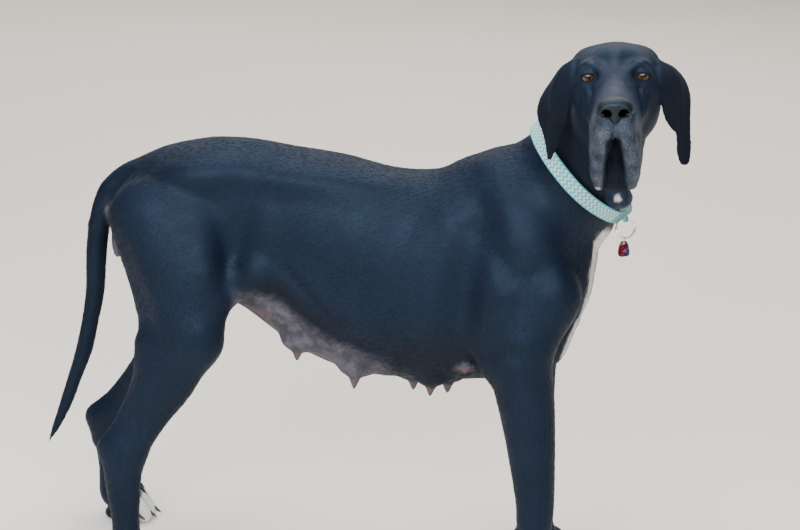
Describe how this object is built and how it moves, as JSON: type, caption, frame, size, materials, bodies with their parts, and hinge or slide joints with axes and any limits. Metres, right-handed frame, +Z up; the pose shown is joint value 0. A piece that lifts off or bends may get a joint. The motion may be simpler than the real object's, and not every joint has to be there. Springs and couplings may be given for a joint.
{
  "type": "great dane",
  "caption": "Still life-size model of a standing female great dane, black, with head turned over its right side, wearing a patterned collar with a ring and blank tags.",
  "frame": {"origin": "on the floor, under the middle of the whole model's outline", "axes": "+X the dog's forward, +Y its left side, +Z up; the floor is z = 0"},
  "size_m": [1.0974, 0.5191, 0.9926],
  "materials": {
    "coat": "short glossy black coat with a white chest stripe, chin spot and toes",
    "nose_leather": "moist, finely pebbled",
    "eye": "wet, amber brown",
    "claw": "worn horn",
    "webbing": "woven, white and teal chevrons",
    "steel": "bright",
    "red_tag": "anodised, scratched",
    "blue_tag": "anodised, scratched"
  },
  "bodies": {
    "root": {"head": "coat", "ear_right": "coat", "ear_left": "coat", "neck": "coat", "chest": "coat", "loins": "coat", "tail": "coat", "tail_tip": "coat", "shoulder_right": "coat", "forearm_right": "coat", "pastern_right": "coat", "forepaw_right": "coat", "thigh_right": "coat", "shank_right": "coat", "hock_right": "coat", "hindpaw_right": "coat", "shoulder_left": "coat", "forearm_left": "coat", "pastern_left": "coat", "forepaw_left": "coat", "thigh_left": "coat", "shank_left": "coat", "hock_left": "coat", "hindpaw_left": "coat", "nose": "nose_leather", "eye_right": "eye", "eye_left": "eye", "claw_fore_right_1": "claw", "claw_fore_right_2": "claw", "claw_fore_right_3": "claw", "claw_fore_right_4": "claw", "claw_fore_left_1": "claw", "claw_fore_left_2": "claw", "claw_fore_left_3": "claw", "claw_fore_left_4": "claw", "claw_hind_right_1": "claw", "claw_hind_right_2": "claw", "claw_hind_right_3": "claw", "claw_hind_right_4": "claw", "claw_hind_left_1": "claw", "claw_hind_left_2": "claw", "claw_hind_left_3": "claw", "claw_hind_left_4": "claw", "collar": "webbing", "collar_loop": "webbing", "collar_ring": "steel", "tag_link": "steel", "tag_red": "red_tag", "tag_blue": "blue_tag"}
  },
  "joints": []
}
